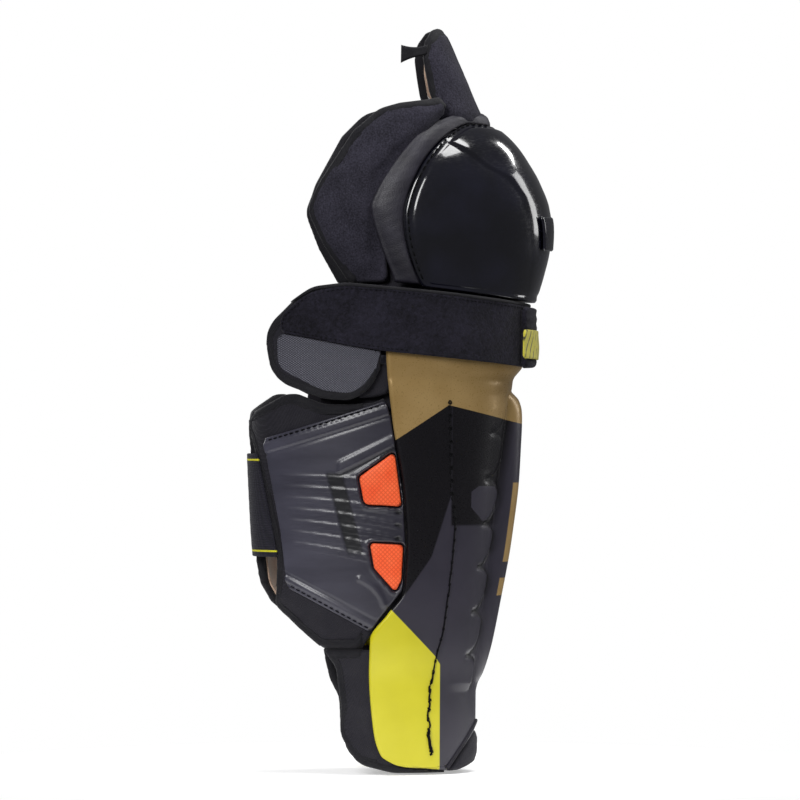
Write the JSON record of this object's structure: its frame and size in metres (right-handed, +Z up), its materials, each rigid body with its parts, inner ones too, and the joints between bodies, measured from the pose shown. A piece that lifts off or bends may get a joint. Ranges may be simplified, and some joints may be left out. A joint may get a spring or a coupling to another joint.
{
  "type": "hockey shin guard",
  "caption": "Right-leg ice hockey shin guard: moulded shin shell and knee cap over foam, calf wings, knee wings, thigh tongue and hook-and-loop straps.",
  "frame": {"origin": "on the leg's axis inside the guard, level with its lower edge", "axes": "+Z up the shin towards the knee, +X forward out of the knee cap, +Y to the wearer's left (the medial side of this right-leg guard)"},
  "size_m": [0.2104, 0.1342, 0.5057],
  "materials": {
    "shell_plastic": "satin moulded shell with a bronze upper zone",
    "cap_plastic": "high gloss",
    "plate_plastic": "semi gloss, fine grain",
    "insert_foam": "matte, moulded hatch",
    "liner_foam": "brushed knit over foam",
    "cap_border_fabric": "matte leatherette",
    "neoprene": "matte knit over foam",
    "wing_fabric": "matte woven nylon over foam",
    "binding_tape": "folded woven tape",
    "mesh_fabric": "fine diagonal weave",
    "lining_suede": "brushed suede",
    "strap_loop": "napped loop fabric",
    "strap_elastic": "ribbed elastic with thin yellow stripes",
    "hook_tape": "hook tape",
    "label_weave": "woven tape",
    "thread": "waxed thread",
    "cuff_fabric": "padded nylon",
    "tongue_fabric": "matte knit over foam"
  },
  "bodies": {
    "shin": {"shin_shell": "shell_plastic", "shell_liner": "liner_foam", "liner_pads": "liner_foam", "ankle_cuff": "cuff_fabric", "ankle_lobe_lateral": "wing_fabric", "ankle_lobe_medial": "wing_fabric", "ankle_lobe_binding_lateral": "binding_tape", "ankle_lobe_binding_medial": "binding_tape", "shell_lacing_lateral": "thread", "shell_lacing_medial": "thread", "shell_roll_lateral": "wing_fabric", "shell_roll_medial": "wing_fabric", "shell_bridge": "cuff_fabric", "strap_loop_patch": "strap_loop"},
    "knee_cap": {"cap_shell": "cap_plastic", "cap_border": "cap_border_fabric", "cap_liner": "liner_foam", "knee_donut": "liner_foam", "cap_lacing": "thread", "knee_gusset_lateral": "neoprene", "knee_gusset_medial": "neoprene"},
    "tongue": {"thigh_tongue": "tongue_fabric", "thigh_tongue_binding": "binding_tape", "thigh_tongue_lining": "lining_suede", "thigh_tongue_tail": "tongue_fabric"},
    "knee_wing_lateral": {"knee_wing_lateral": "neoprene", "knee_wing_binding_lateral": "binding_tape"},
    "knee_wing_medial": {"knee_wing_medial": "neoprene", "knee_wing_binding_medial": "binding_tape"},
    "upper_wing_lateral": {"upper_wing_lateral": "wing_fabric", "upper_wing_binding_lateral": "binding_tape", "upper_wing_mesh_lateral": "mesh_fabric", "front_strap_base": "strap_loop"},
    "front_strap": {"front_strap": "strap_loop", "front_strap_hem": "strap_loop", "front_strap_label": "label_weave", "front_strap_hooks": "hook_tape"},
    "upper_wing_medial": {"upper_wing_medial": "wing_fabric", "upper_wing_binding_medial": "binding_tape", "upper_wing_mesh_medial": "mesh_fabric"},
    "calf_wing_lateral": {"calf_wing_lateral": "wing_fabric", "calf_wing_binding_lateral": "binding_tape", "calf_wing_lining_lateral": "lining_suede", "calf_guard_plate": "plate_plastic", "calf_insert_upper": "insert_foam", "calf_insert_lower": "insert_foam", "plate_stitching": "thread"},
    "calf_strap": {"calf_strap": "strap_elastic", "calf_strap_tab": "hook_tape"},
    "calf_wing_medial": {"calf_wing_medial": "wing_fabric", "calf_wing_binding_medial": "binding_tape", "calf_wing_lining_medial": "lining_suede", "calf_loop_patch": "strap_loop"}
  },
  "joints": [
    {"name": "knee_flex", "type": "hinge", "parent": "shin", "child": "knee_cap", "pos_m": [0.04, 0, 0.322], "axis": [0, -1, 0], "range_deg": [0, 25], "stiffness_Nm_per_rad": 3},
    {"name": "tongue_flex", "type": "hinge", "parent": "knee_cap", "child": "tongue", "pos_m": [0.045, 0, 0.4465], "axis": [0, -1, 0], "range_deg": [-10, 20], "stiffness_Nm_per_rad": 0.2},
    {"name": "knee_wing_lateral_fold", "type": "hinge", "parent": "knee_cap", "child": "knee_wing_lateral", "pos_m": [-0.0296, -0.049, 0.385], "axis": [0, 0, 1], "range_deg": [0, 11], "stiffness_Nm_per_rad": 0.15},
    {"name": "knee_wing_medial_fold", "type": "hinge", "parent": "knee_cap", "child": "knee_wing_medial", "pos_m": [-0.0296, 0.049, 0.385], "axis": [0, 0, -1], "range_deg": [0, 11], "stiffness_Nm_per_rad": 0.15},
    {"name": "front_strap_open", "type": "hinge", "parent": "upper_wing_lateral", "child": "front_strap", "pos_m": [-0.0182, -0.0686, 0.303], "axis": [0, 0, -1], "range_deg": [0, 120]},
    {"name": "upper_wing_lateral_open", "type": "hinge", "parent": "shin", "child": "upper_wing_lateral", "pos_m": [-0.0184, -0.0686, 0.303], "axis": [0, 0, 1], "range_deg": [0, 60]},
    {"name": "upper_wing_medial_open", "type": "hinge", "parent": "shin", "child": "upper_wing_medial", "pos_m": [-0.0184, 0.0655, 0.295], "axis": [0, 0, -1], "range_deg": [0, 70]},
    {"name": "calf_wing_lateral_open", "type": "hinge", "parent": "shin", "child": "calf_wing_lateral", "pos_m": [-0.006, -0.055, 0.095], "axis": [-0.0576, -0.0576, 0.9967], "range_deg": [0, 75]},
    {"name": "calf_strap_open", "type": "hinge", "parent": "calf_wing_lateral", "child": "calf_strap", "pos_m": [-0.0947, -0.0236, 0.181], "axis": [-0.1793, 0.1473, 0.9727], "range_deg": [0, 110]},
    {"name": "calf_wing_medial_open", "type": "hinge", "parent": "shin", "child": "calf_wing_medial", "pos_m": [-0.006, 0.055, 0.095], "axis": [0.0576, -0.0576, -0.9967], "range_deg": [0, 50]}
  ],
  "couplings": [
    {"joint": "upper_wing_lateral_open", "follows": "front_strap_open", "ratio": 0.5},
    {"joint": "calf_wing_medial_open", "follows": "calf_strap_open", "ratio": 0.4}
  ]
}
